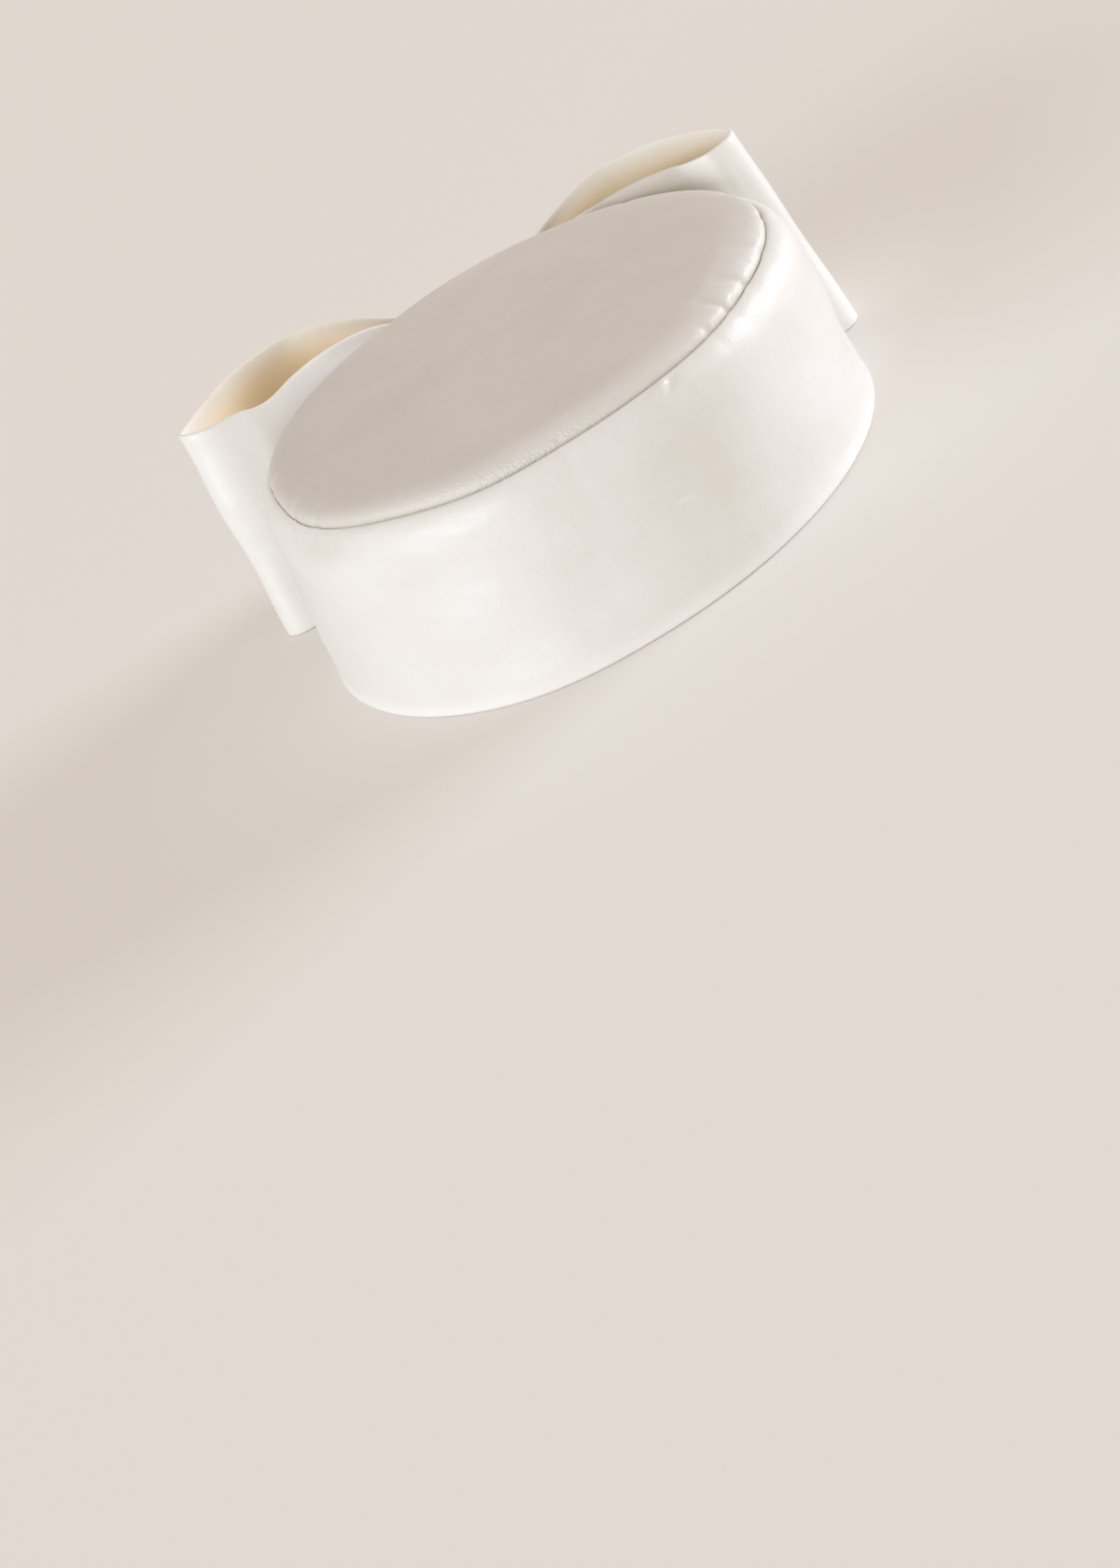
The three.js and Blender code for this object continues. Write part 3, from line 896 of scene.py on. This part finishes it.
class PILLBOX_OT_bow_ribbon(bpy.types.Operator):
    """Makes the bow's ribbon: two open loops, gathered where they enter the knot"""

    bl_idname = "pillbox.bow_ribbon"
    bl_label = "Bow ribbon"

    def execute(self, context):
        s = sizes()
        steps = fineness().along
        across = fineness().across
        edge_steps = 5
        rows = closed_spline(ribbon_rows(), steps)
        low, top = rows[:, :3], rows[:, 3:]
        middle = (low + top) / 2
        run = run_lengths(middle, True)
        way = np.roll(middle, -1, 0) - np.roll(middle, 1, 0)
        way[:, 2] = 0
        way /= np.linalg.norm(way, axis=1, keepdims=True)
        face = np.stack([way[:, 1], -way[:, 0], np.zeros(steps)], 1)
        centre = axis_point()
        from_knot = np.abs(middle[:, 0] - centre.x) - HALF_KNOT
        beside = np.exp(-((np.maximum(from_knot, 0) / (17 * MM)) ** 1.1))
        inside = eased(1 + from_knot / (4 * MM))
        place = np.arange(steps)[:, None] / steps
        sideways = middle[:, :1] / (RIBBON_HIGH.x - RIBBON_LOW.x)
        away = middle - np.array(centre)
        from_back = np.arctan2(away[:, 0], away[:, 1]) / FULL_TURN
        stand_off = np.hypot(away[:, 0], away[:, 1]) - s.rim_radius
        place_there = (from_back - RIGHT_FRONT["middle"]) / RIGHT_FRONT["wide"]
        right_front = np.exp(-(place_there**6)) * eased(3 - stand_off / (3 * MM))
        right_front = right_front[:, None]
        fold_place = RIGHT_FRONT["fold"] - RIGHT_FRONT["fall"] * (from_back - RIGHT_FRONT["start"])
        fold_place = fold_place[:, None]
        half_wall = s.ribbon_wall / 2
        v_all, side, beyond = strap_section(np.linspace(0, 1, across + 1), edge_steps)
        v = v_all[None, :]
        from_fold = (v - fold_place) * RIBBON_WIDTH
        # both layers take the same pleats, whichever way they run
        gather = s.gather_depth * (beside * (0.25 + 0.75 * inside) * face[:, 1])[:, None]
        pleats = np.cos(FULL_TURN * (3.6 * v + 0.35 * soft_noise(31, sideways, 0 * v, 1, 4)))
        finer = 0.45 * np.cos(FULL_TURN * (7.3 * v + 0.3 * np.cos(FULL_TURN * 1.2 * sideways)))
        slack = eased(from_knot / (20 * MM))[:, None]
        waves = 0.3 * MM * slack * soft_noise(32, place, v * 0.25, 2, 8)
        # the right loop's front layer leans towards the crown above a soft fold
        lean = s.edge_lean * (1 - np.exp(-((from_fold / (3 * MM)) ** 2)))
        lean = np.where(from_fold > 0, 1.0, -0.35) * lean * right_front
        lift = gather * (pleats + finer) + waves + lean
        span = top - low
        width = np.linalg.norm(span, axis=1, keepdims=True)
        edge_wave = 0.15 * MM * soft_noise(33, place, 0 * place, 3, 10)
        stretch = half_wall * beyond[None, :] + edge_wave * v_all[None, :]
        points = (
            low[:, None, :]
            + span[:, None, :] * v_all[None, :, None]
            + face[:, None, :] * (lift + half_wall * side[None, :])[:, :, None]
            + (span / width)[:, None, :] * stretch[:, :, None]
        )
        v_run = v_all * RIBBON_WIDTH + beyond * half_wall
        v_run = np.append(v_run, v_run[0])
        flat = np.stack(np.meshgrid(run, v_run, indexing="ij"), -1)
        back_faces = np.zeros((steps, len(v_all)), int)
        back_faces[:, : across + 1 + edge_steps // 2] = 1
        # Painted shadow: a dark strip at and below the soft fold of the right loop's front layer, behind
        # the crown
        blur = np.where(from_fold > 0, 1.3 * MM, 5 * MM)
        fold = right_front * (0.68 + 0.4 * np.exp(-((from_fold / blur) ** 2))) * eased((v - 0.7) / 0.15)
        # Painted shade on the ribbon where it is gathered beside the knot
        crease = np.maximum(0.35 * beside[:, None], fold)
        below_top = (1 - v_all) * RIBBON_WIDTH
        # Painted highlight on the lower half of the right loop
        low_right_painted_highlight = eased((from_back[:, None] - 0.07) / 0.05) * eased((0.5 - v) / 0.4)
        masks = {
            "crease": crease,
            "hem": low_right_painted_highlight,
            # Painted warm bounce on the back of the satin, fuller further below the ribbon's top edge
            "painted_bounce": eased((below_top - 0.5 * MM) / (8 * MM)),
            "crinkle": 0.15,
        }
        piece = cloth_mesh("bow_ribbon_satin", points, flat, True, masks, back_faces)
        materials = [
            satin("ribbon satin", colours().ribbon, 0.38),
            satin("ribbon back", colours().ribbon_back, 0.6, colours().ribbon_painted_bounce),
        ]
        settle(piece, "bow_ribbon", materials)
        return {"FINISHED"}


class PILLBOX_OT_bow_knot(bpy.types.Operator):
    """Makes the knot: a softly pleated strap round the bow's middle"""

    bl_idname = "pillbox.bow_knot"
    bl_label = "Bow knot"

    def execute(self, context):
        s = sizes()
        rounding = 2.2 * MM
        low = np.array([KNOT_LOW.y, KNOT_LOW.z])
        high = np.array([KNOT_HIGH.y, KNOT_HIGH.z])
        plump = 1.2 * MM
        high[0] -= plump
        (near, down), (far, up) = low + rounding, high - rounding
        corners = [
            arc((y, z), rounding, rounding, start, start + 90, 14)
            for y, z, start in ((far, up, 0), (near, up, 90), (near, down, 180), (far, down, 270))
        ]
        inner_face = line((low[0], up), (low[0], down), 40)
        outer_face = line((high[0], down), (high[0], up), 40)
        chain = np.concatenate([*corners[:2], inner_face, *corners[2:], outer_face])
        normals = profile_normals(chain)
        run = run_lengths(chain, True)
        half_wall = s.knot_wall / 2
        w_all, out, beyond = strap_section(np.linspace(-1, 1, 31), 5)
        place = np.linspace(0, 1, len(chain), endpoint=False)[:, None]
        rear = eased((chain[:, 0] - (low[0] + high[0]) / 2) / (2 * MM))[:, None]
        w_row = w_all[None, :]
        drift = 0.14 * soft_noise(41, place, 0 * place, 1, 4)
        pleats = np.cos(FULL_TURN * (1.4 * w_row + 0.16 * np.sin(2.6 * w_row + 0.9) + drift))
        pleats = pleats * (0.75 + 0.35 * np.cos(2.3 * w_row - 1.1))
        pleats = 0.4 * MM * (pleats + 0.35 * np.cos(FULL_TURN * (2.9 * w_row - 1.4 * drift)))
        crown = plump * 0.75 * (1 - w_row**2)
        stand = np.where(out[None, :] > -0.5, rear * (crown + pleats * (1 - w_row**4)), 0)
        offset = stand + half_wall * (out[None, :] - 1)
        pinch = 1 - 0.07 * rear * np.sin(math.pi * (chain[:, 1:2] - low[1]) / (high[1] - low[1]))
        x = axis_point().x + (HALF_KNOT - half_wall) * w_row * pinch + half_wall * beyond[None, :]
        y = chain[:, 0:1] + normals[:, 0:1] * offset
        z = chain[:, 1:2] + normals[:, 1:2] * offset
        points = np.stack([np.broadcast_to(x, y.shape), y, z], -1)
        flat_w = np.append(w_all, w_all[0]) * HALF_KNOT
        flat = np.stack(np.meshgrid(run, flat_w, indexing="ij"), -1)
        piece = cloth_mesh("bow_knot_satin", points, flat, True)
        settle(piece, "bow_knot", [satin("knot satin", colours().ribbon, 0.40)])
        return {"FINISHED"}


# Finishes


def add_node(tree, kind, x, y, *into, **values):
    """A node at a place. into fills its inputs in their order, None where one stays as it is, and
    values its settings and its inputs by name. Another node's output is linked."""
    node = tree.nodes.new(kind)
    node.location = (x, y)
    inputs = list(enumerate(into))
    for name, value in values.items():
        if hasattr(node, name):
            setattr(node, name, value)
        else:
            inputs.append((name.replace("_", " "), value))
    for key, value in inputs:
        if isinstance(value, bpy.types.NodeSocket):
            tree.links.new(value, node.inputs[key])
        elif value is not None:
            node.inputs[key].default_value = value
    return node


def maths(tree, x, y, operation, *values):
    """The result of a sum on numbers or other nodes' outputs"""
    return add_node(tree, "ShaderNodeMath", x, y, *values, operation=operation).outputs[0]


def noise(tree, x, y, place, **values):
    """The height of a noise texture at a place"""
    return add_node(tree, "ShaderNodeTexNoise", x, y, Vector=place, **values).outputs["Fac"]


def mix_colour(tree, x, y, factor, low, high):
    """The mix of two colours, each given as three numbers or as another node's output"""
    ends = [end if isinstance(end, bpy.types.NodeSocket) else (*end, 1) for end in (low, high)]
    unused = [None] * 5
    return add_node(tree, "ShaderNodeMix", x, y, factor, *unused, *ends, data_type="RGBA").outputs[2]


def new_group(name, inputs, outputs):
    """An empty shader node group with named sockets, and its way in"""
    tree = bpy.data.node_groups.new(name, "ShaderNodeTree")
    for socket_name, kind, value in inputs:
        socket = tree.interface.new_socket(socket_name, in_out="INPUT", socket_type=kind)
        if value is not None:
            socket.default_value = value
    for socket_name in outputs:
        tree.interface.new_socket(socket_name, in_out="OUTPUT", socket_type="NodeSocketFloat")
    return tree, add_node(tree, "NodeGroupInput", -900, 0).outputs


def satin_threads():
    """Node group: the long fine floats of a satin weave, as a height and as a streak mask"""
    name = "satin threads"
    if name in bpy.data.node_groups:
        return bpy.data.node_groups[name]
    inputs = [
        ("Cloth", "NodeSocketVector", None),
        ("Threads per metre", "NodeSocketFloat", 5200.0),
        ("Float length", "NodeSocketFloat", 9.0),
    ]
    tree, way_in = new_group(name, inputs, ["Height", "Streak"])
    threads = way_in["Threads per metre"]
    split = add_node(tree, "ShaderNodeSeparateXYZ", -720, 0, way_in["Cloth"])
    along = maths(tree, -540, 120, "MULTIPLY", split.outputs["X"], threads)
    up = maths(tree, -540, -60, "MULTIPLY", split.outputs["Y"], threads)
    shorter = maths(tree, -360, -60, "DIVIDE", up, way_in["Float length"])
    both = add_node(tree, "ShaderNodeCombineXYZ", -180, 60, along, shorter).outputs[0]
    fine = noise(tree, 0, 140, both, Scale=1.0, Detail=2.0, Roughness=0.6)
    coarse = noise(tree, 0, -140, both, Scale=0.16, Detail=3.0, Roughness=0.55)
    height = maths(tree, 240, 60, "MULTIPLY_ADD", coarse, 0.8, fine)
    add_node(tree, "NodeGroupOutput", 700, 0, height, coarse)
    return tree


def cloth_mottle():
    """Node group: the slow unevenness of cloth in colour and gloss, and its faint rumples"""
    name = "cloth mottle"
    if name in bpy.data.node_groups:
        return bpy.data.node_groups[name]
    inputs = [("Place", "NodeSocketVector", None), ("Scale", "NodeSocketFloat", 45.0)]
    tree, way_in = new_group(name, inputs, ["Mask", "Rumple"])
    slow = noise(tree, -300, 140, way_in["Place"], Scale=way_in["Scale"], Detail=3.0, Roughness=0.5)
    mask = add_node(tree, "ShaderNodeMapRange", 0, 140, Value=slow, From_Min=0.3, From_Max=0.7)
    finer = maths(tree, -540, -140, "MULTIPLY", way_in["Scale"], 2.6)
    rumple = noise(
        tree, -300, -140, way_in["Place"], Scale=finer, Detail=4.0, Roughness=0.45, Distortion=0.3
    )
    add_node(tree, "NodeGroupOutput", 700, 0, mask.outputs[0], rumple)
    return tree


def satin(name, cloth_colour, roughness, painted_bounce_colour=None, sheen=0.25, painted_highlight=1.09):
    """A satin material of one colour, with its threads and mottle, painted shade in its creases and
    other shaded places, a painted warm bounce colour deep in a loop when one is given, and a painted
    highlight where its own colour is made lighter by a factor."""
    material = bpy.data.materials.new(name)
    material.use_nodes = True
    tree = material.node_tree
    tree.nodes.clear()

    def mask(x, y, its_name):
        return add_node(tree, "ShaderNodeAttribute", x, y, attribute_name=its_name).outputs["Fac"]

    cloth = add_node(tree, "ShaderNodeUVMap", -900, 200, uv_map="cloth").outputs["UV"]
    threads = add_node(tree, "ShaderNodeGroup", -640, 200, node_tree=satin_threads(), Cloth=cloth)
    place = add_node(tree, "ShaderNodeTexCoord", -900, -100).outputs["Object"]
    mottle = add_node(tree, "ShaderNodeGroup", -640, -100, node_tree=cloth_mottle(), Place=place)
    mottled = mottle.outputs["Mask"]
    base = np.array(cloth_colour)
    streak = add_node(
        tree, "ShaderNodeMapRange", -340, 420, threads.outputs["Streak"], 0.42, 0.62, To_Max=0.16
    )
    tinted = mix_colour(tree, -340, 200, mottled, base, base * (0.955, 0.94, 0.915))
    tinted = mix_colour(tree, -120, 200, streak.outputs[0], tinted, base * 0.93)
    # Painted highlight: the cloth's own colour made lighter where the hem mask lies
    tinted = mix_colour(tree, 20, 420, mask(-180, 420, "hem"), tinted, base * painted_highlight)
    if painted_bounce_colour is not None:
        # Painted warm bounce deep in the loops
        tinted = mix_colour(tree, 60, 420, mask(-140, 420, "painted_bounce"), tinted, painted_bounce_colour)
    # Painted shade: the crease colour where the crease mask lies
    shade = maths(tree, -100, -60, "MULTIPLY", mask(-340, -60, "crease"), 0.8)
    tinted = mix_colour(tree, 120, 200, shade, tinted, colours().crease)
    gloss = add_node(
        tree, "ShaderNodeMapRange", 120, -60, mottled, To_Min=roughness - 0.05, To_Max=roughness + 0.06
    )
    crinkled = noise(tree, -640, -500, place, Scale=1300.0, Detail=2.0, Roughness=0.55)
    crinkled = maths(tree, -340, -560, "MULTIPLY", crinkled, mask(-640, -700, "crinkle"))
    normal = None
    for x, y, strength, distance, height in (
        (120, -300, 0.35, 0.05 * MM, threads.outputs["Height"]),
        (340, -300, 0.3, 0.6 * MM, mottle.outputs["Rumple"]),
        (480, -480, 1.0, 0.3 * MM, crinkled),
    ):
        bump = add_node(
            tree, "ShaderNodeBump", x, y, Strength=strength, Distance=distance, Height=height, Normal=normal
        )
        normal = bump.outputs[0]
    shader = add_node(
        tree,
        "ShaderNodeBsdfPrincipled",
        600,
        0,
        Base_Color=tinted,
        Roughness=gloss.outputs[0],
        Normal=normal,
        Specular_IOR_Level=0.55,
        Anisotropic=0.35,
        Sheen_Weight=sheen,
        Sheen_Roughness=0.45,
        Sheen_Tint=(1.0, 0.98, 0.95, 1),
    )
    add_node(tree, "ShaderNodeOutputMaterial", 900, 0, shader.outputs[0])
    return material


def floor_material():
    """The matt pale paper that the hat stands on"""
    material = bpy.data.materials.new("pale floor")
    material.use_nodes = True
    shader = material.node_tree.nodes["Principled BSDF"]
    shader.inputs["Base Color"].default_value = (*colours().floor, 1)
    shader.inputs["Roughness"].default_value = 0.9
    shader.inputs["Specular IOR Level"].default_value = 0.15
    return material


def light_place(azimuth, elevation, distance, centre):
    """A point round the hat, by its angles in degrees and its distance"""
    a, e = math.radians(azimuth), math.radians(elevation)
    away = Vector((math.sin(a) * math.cos(e), -math.cos(a) * math.cos(e), math.sin(e)))
    return centre + away * distance


def photograph_camera():
    """The camera that sees the hat as the photograph does, tilted as the photograph shows it"""
    width, height = 1200, 1680
    focal_pixels = 4250
    hat_pixel = (599.0, 472.9)
    distance = 1.129
    elevation = math.radians(21.13)
    roll = math.radians(30.43)
    target = axis_point(0.030)
    back = Vector((0, -math.cos(elevation), math.sin(elevation)))
    right = Vector((1, 0, 0))
    up = back.cross(right)
    upright = Matrix((right, up, back))
    rolled = Matrix.Rotation(roll, 3, "Z")
    towards = Vector(
        (
            (hat_pixel[0] - width / 2) / focal_pixels,
            -(hat_pixel[1] - height / 2) / focal_pixels,
            -1,
        )
    ).normalized()
    aimed = Vector((0, 0, -1)).rotation_difference(towards).to_matrix()
    to_camera = aimed @ rolled @ upright
    data = bpy.data.cameras.new("camera")
    data.sensor_width = 36
    data.lens = focal_pixels * data.sensor_width / height
    data.clip_end = 200
    camera = bpy.data.objects.new("camera", data)
    camera.matrix_world = Matrix.Translation(target + back * distance) @ to_camera.transposed().to_4x4()
    bpy.context.scene.collection.objects.link(camera)
    bpy.context.scene.camera = camera


class PILLBOX_OT_studio(bpy.types.Operator):
    """Sets the pale floor, the soft lights and the camera"""

    bl_idname = "pillbox.studio"
    bl_label = "Studio"

    def execute(self, context):
        half = 30.0
        mesh = bpy.data.meshes.new("floor")
        corners = [(-half, -half, 0), (half, -half, 0), (half, half, 0), (-half, half, 0)]
        mesh.from_pydata(corners, [], [(0, 1, 2, 3)])
        floor = bpy.data.objects.new("floor", mesh)
        floor.data.materials.append(floor_material())
        bpy.context.scene.collection.objects.link(floor)
        centre = axis_point(0.03)
        for row in LIGHTS:
            data = bpy.data.lights.new(row["name"], "AREA")
            data.shape = "RECTANGLE"
            data.size = row["wide"]
            data.size_y = row["tall"]
            data.energy = row["power"]
            data.color = row["colour"]
            lamp = bpy.data.objects.new(row["name"], data)
            lamp.location = light_place(row["azimuth"], row["elevation"], row["distance"], centre)
            lamp.rotation_euler = (centre - lamp.location).to_track_quat("-Z", "Y").to_euler()
            lamp.visible_camera = False
            bpy.context.scene.collection.objects.link(lamp)
        world = bpy.data.worlds.new("soft room")
        world.use_nodes = True
        background = world.node_tree.nodes["Background"]
        background.inputs["Color"].default_value = (*colours().room, 1)
        background.inputs["Strength"].default_value = 0.6
        bpy.context.scene.world = world
        bpy.context.scene.view_settings.view_transform = "Standard"
        photograph_camera()
        return {"FINISHED"}


class PILLBOX_PT_panel(bpy.types.Panel):
    """Lists the hat's sizes, colours and pieces in the sidebar"""

    bl_label = "Pillbox Hat"
    bl_idname = "PILLBOX_PT_panel"
    bl_space_type = "VIEW_3D"
    bl_region_type = "UI"
    bl_category = "Pillbox Hat"

    def draw(self, context):
        scene = context.scene
        for group in (scene.hat_sizes, scene.hat_padding, scene.hat_colours, scene.hat_fineness):
            box = self.layout.box()
            for name in group.__annotations__:
                box.prop(group, name)
        for operator in PIECES:
            self.layout.operator(operator.bl_idname)


PIECES = (
    PILLBOX_OT_studio,
    PILLBOX_OT_side_band,
    PILLBOX_OT_crown_tip,
    PILLBOX_OT_bow_ribbon,
    PILLBOX_OT_bow_knot,
)
CLASSES = (HatSizes, HatPadding, HatColours, HatFineness, *PIECES, PILLBOX_PT_panel)


def register():
    for each in CLASSES:
        bpy.utils.register_class(each)
    bpy.types.Scene.hat_sizes = PointerProperty(type=HatSizes)
    bpy.types.Scene.hat_padding = PointerProperty(type=HatPadding)
    bpy.types.Scene.hat_colours = PointerProperty(type=HatColours)
    bpy.types.Scene.hat_fineness = PointerProperty(type=HatFineness)


def unregister():
    del bpy.types.Scene.hat_fineness
    del bpy.types.Scene.hat_colours
    del bpy.types.Scene.hat_padding
    del bpy.types.Scene.hat_sizes
    for each in reversed(CLASSES):
        bpy.utils.unregister_class(each)


def main():
    register()
    bpy.ops.pillbox.studio()
    bpy.ops.pillbox.side_band()
    bpy.ops.pillbox.crown_tip()
    bpy.ops.pillbox.bow_ribbon()
    bpy.ops.pillbox.bow_knot()


if __name__ == "__main__":
    main()
